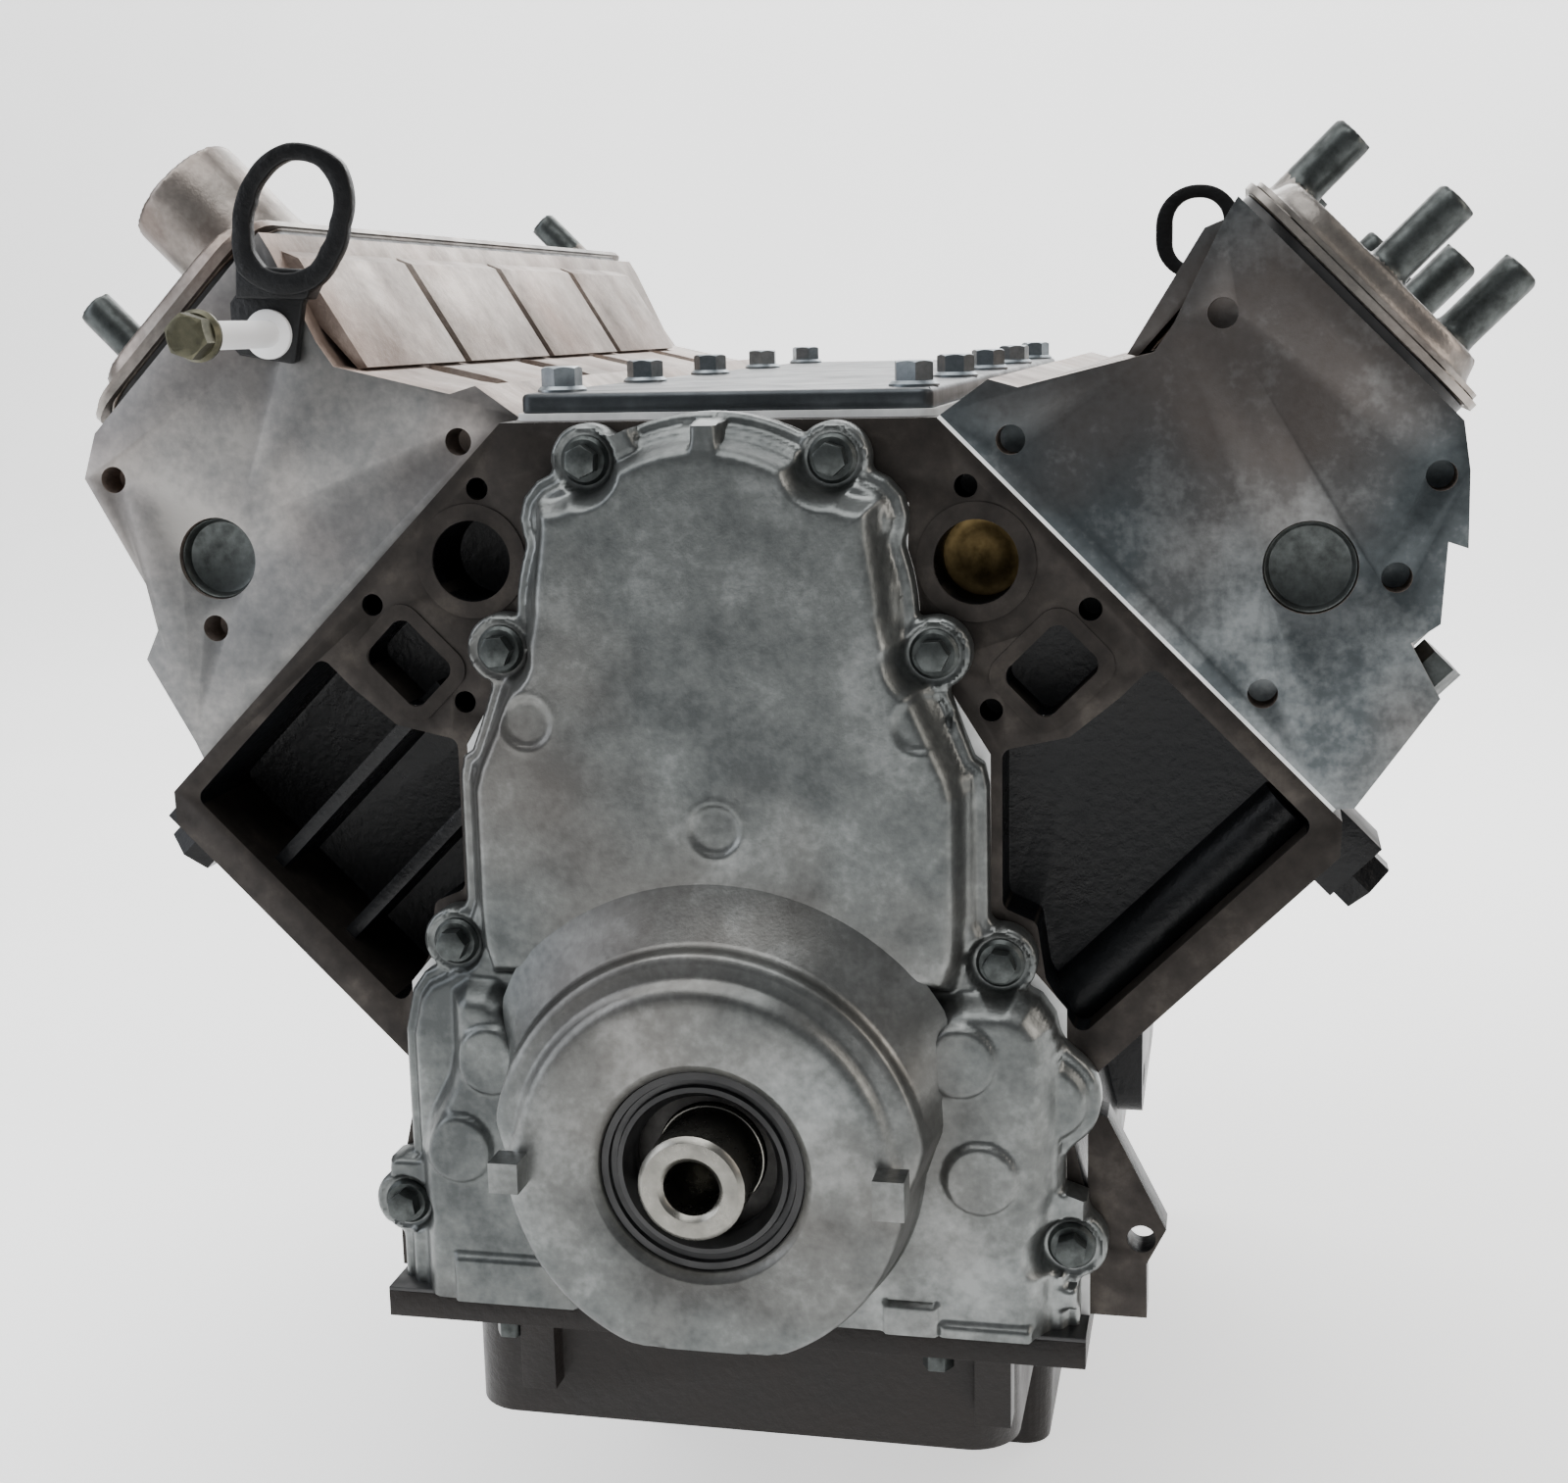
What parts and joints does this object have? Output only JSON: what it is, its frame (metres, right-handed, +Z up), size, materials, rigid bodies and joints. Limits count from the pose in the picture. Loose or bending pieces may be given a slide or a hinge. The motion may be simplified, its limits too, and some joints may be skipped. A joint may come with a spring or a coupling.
{
  "type": "truck engine",
  "caption": "V8 truck engine long block with an iron block, aluminium heads, front timing cover, valley cover, sump and full crank train.",
  "frame": {"origin": "centre of the crankshaft's rear flange face, on the crankshaft axis", "axes": "+Z up between the banks, +Y towards the rear along the crankshaft, +X towards the left bank"},
  "size_m": [0.5476, 0.5926, 0.5854],
  "materials": {
    "block_paint": "black enamel over cast iron, faces machined bare",
    "head_casting": "sand-cast aluminium, blasted, ends milled",
    "cover_casting": "die-cast aluminium, blasted",
    "machined_steel": "machined and oiled",
    "zinc_steel": "bright zinc plated",
    "dark_steel": "phosphated",
    "black_strap": "black coated pressed steel",
    "plate_steel": "rolled plate",
    "cap_iron": "as cast, faces machined",
    "bearing_metal": "plain bearing metal",
    "piston_alloy": "turned",
    "seal_rubber": "moulded",
    "gasket_fibre": "pressed sheet"
  },
  "bodies": {
    "engine": {"block_plugs": "block_paint", "cam_bearings": "bearing_metal", "cam_retainer_plate": "machined_steel", "connecting_rods": "machined_steel", "core_plugs": "machined_steel", "cylinder_block": "block_paint", "drain_plug": "machined_steel", "front_cover": "cover_casting", "front_cover_bolts": "dark_steel", "front_cover_gasket": "gasket_fibre", "front_crank_seal": "seal_rubber", "head_bolts": "dark_steel", "head_gaskets": "gasket_fibre", "left_cylinder_head": "head_casting", "left_rocker_cover": "cover_casting", "lifters": "machined_steel", "lifting_strap_bolts": "dark_steel", "lifting_straps": "black_strap", "main_bearing_caps": "cap_iron", "main_bearing_shells": "bearing_metal", "main_cap_bolts": "dark_steel", "oil_pan": "block_paint", "oil_pan_bolts": "zinc_steel", "oil_pan_gasket": "gasket_fibre", "oil_pickup": "plate_steel", "oil_pump": "cap_iron", "pushrods": "machined_steel", "rear_cover": "cover_casting", "rear_cover_bolts": "dark_steel", "rear_crank_seal": "seal_rubber", "right_cylinder_head": "head_casting", "right_rocker_cover": "cover_casting", "rocker_arms": "machined_steel", "rocker_cover_bolts": "zinc_steel", "rocker_cover_seals": "seal_rubber", "rocker_stands": "machined_steel", "timing_chain": "machined_steel", "valley_cover": "plate_steel", "valley_cover_bolts": "zinc_steel", "valley_cover_gasket": "gasket_fibre", "valve_springs": "machined_steel", "valves": "machined_steel", "windage_tray": "plate_steel"},
    "crank": {"crankshaft": "machined_steel", "crank_sprocket": "machined_steel"},
    "cam": {"camshaft": "machined_steel", "cam_sprocket": "machined_steel", "cam_sprocket_bolts": "dark_steel"},
    "piston_1": {"piston_1": "piston_alloy"},
    "piston_2": {"piston_2": "piston_alloy"},
    "piston_3": {"piston_3": "piston_alloy"},
    "piston_4": {"piston_4": "piston_alloy"},
    "piston_5": {"piston_5": "piston_alloy"},
    "piston_6": {"piston_6": "piston_alloy"},
    "piston_7": {"piston_7": "piston_alloy"},
    "piston_8": {"piston_8": "piston_alloy"}
  },
  "joints": [
    {"name": "crank_spin", "type": "hinge", "parent": "engine", "child": "crank", "pos_m": [0, 0, 0], "axis": [0, 1, 0], "continuous": true, "deforming": ["connecting_rods", "timing_chain"]},
    {"name": "cam_spin", "type": "hinge", "parent": "engine", "child": "cam", "pos_m": [0, 0, 0.1248], "axis": [0, 1, 0], "continuous": true},
    {"name": "piston_1_stroke", "type": "slide", "parent": "engine", "child": "piston_1", "axis": [0.7071, 0, 0.7071], "range_m": [-0.092, 0]},
    {"name": "piston_2_stroke", "type": "slide", "parent": "engine", "child": "piston_2", "axis": [-0.7071, 0, 0.7071], "range_m": [-0.03901, 0.05299]},
    {"name": "piston_3_stroke", "type": "slide", "parent": "engine", "child": "piston_3", "axis": [0.7071, 0, 0.7071], "range_m": [-0.03901, 0.05299]},
    {"name": "piston_4_stroke", "type": "slide", "parent": "engine", "child": "piston_4", "axis": [-0.7071, 0, 0.7071], "range_m": [0, 0.092]},
    {"name": "piston_5_stroke", "type": "slide", "parent": "engine", "child": "piston_5", "axis": [0.7071, 0, 0.7071], "range_m": [-0.03901, 0.05299]},
    {"name": "piston_6_stroke", "type": "slide", "parent": "engine", "child": "piston_6", "axis": [-0.7071, 0, 0.7071], "range_m": [-0.092, 0]},
    {"name": "piston_7_stroke", "type": "slide", "parent": "engine", "child": "piston_7", "axis": [0.7071, 0, 0.7071], "range_m": [0, 0.092]},
    {"name": "piston_8_stroke", "type": "slide", "parent": "engine", "child": "piston_8", "axis": [-0.7071, 0, 0.7071], "range_m": [-0.03901, 0.05299]}
  ],
  "couplings": [
    {"joint": "cam_spin", "follows": "crank_spin", "ratio": 0.5}
  ]
}
